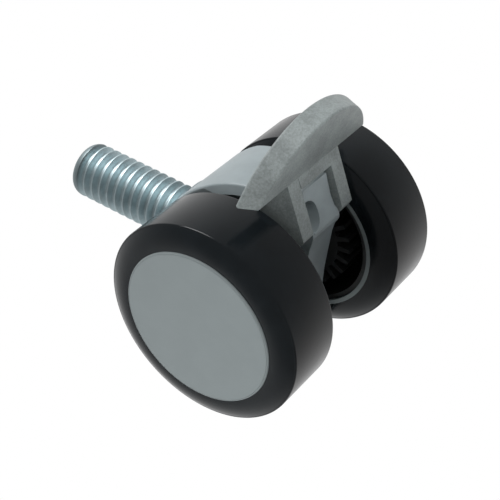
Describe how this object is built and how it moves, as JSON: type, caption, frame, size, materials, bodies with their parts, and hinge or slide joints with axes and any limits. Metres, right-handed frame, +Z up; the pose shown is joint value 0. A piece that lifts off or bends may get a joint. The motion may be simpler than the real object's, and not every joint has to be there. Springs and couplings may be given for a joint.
{
  "type": "braked twin-wheel stem castor",
  "caption": "Small twin-wheel swivel castor with a grey hood, a threaded steel stem and a foot pedal that locks both wheels.",
  "frame": {"origin": "on the stem's axis, at the plane where the stem leaves the hood and its thread starts", "axes": "+Z up the stem, Y along the wheels' axle, +X towards the brake pedal"},
  "size_m": [0.0396, 0.0348, 0.047],
  "materials": {
    "zinc_steel": "zinc plated, rolled thread",
    "spring_steel": "plain",
    "plain_steel": "turned",
    "bearing_plastic": "natural acetal",
    "grey_plastic": "satin moulded",
    "lever_plastic": "fine grained",
    "disc_grey": "satin moulded",
    "core_black": "moulded",
    "tread_black": "smooth, slightly glossy tread"
  },
  "bodies": {
    "stem": {"stem_stud": "zinc_steel", "stem_circlip": "spring_steel"},
    "swivel_housing": {"housing": "grey_plastic", "stem_sleeve": "bearing_plastic", "thrust_washer": "bearing_plastic", "axle": "plain_steel", "lever_pin": "plain_steel", "left_spacer": "bearing_plastic", "right_spacer": "bearing_plastic", "left_starlock": "spring_steel", "right_starlock": "spring_steel"},
    "left_wheel": {"left_tyre": "tread_black", "left_rim": "disc_grey", "left_core": "core_black"},
    "right_wheel": {"right_tyre": "tread_black", "right_rim": "disc_grey", "right_core": "core_black"},
    "lever": {"brake_lever": "lever_plastic"}
  },
  "joints": [
    {"name": "swivel", "type": "hinge", "parent": "stem", "child": "swivel_housing", "pos_m": [0, 0, 0], "axis": [0, 0, 1], "continuous": true},
    {"name": "left_roll", "type": "hinge", "parent": "swivel_housing", "child": "left_wheel", "pos_m": [0, 0, -0.0145], "axis": [0, 1, 0], "continuous": true},
    {"name": "right_roll", "type": "hinge", "parent": "swivel_housing", "child": "right_wheel", "pos_m": [0, 0, -0.0145], "axis": [0, 1, 0], "continuous": true},
    {"name": "brake", "type": "hinge", "parent": "swivel_housing", "child": "lever", "pos_m": [0.0109, 0, -0.014], "axis": [0, 1, 0], "range_deg": [0, 12]}
  ]
}
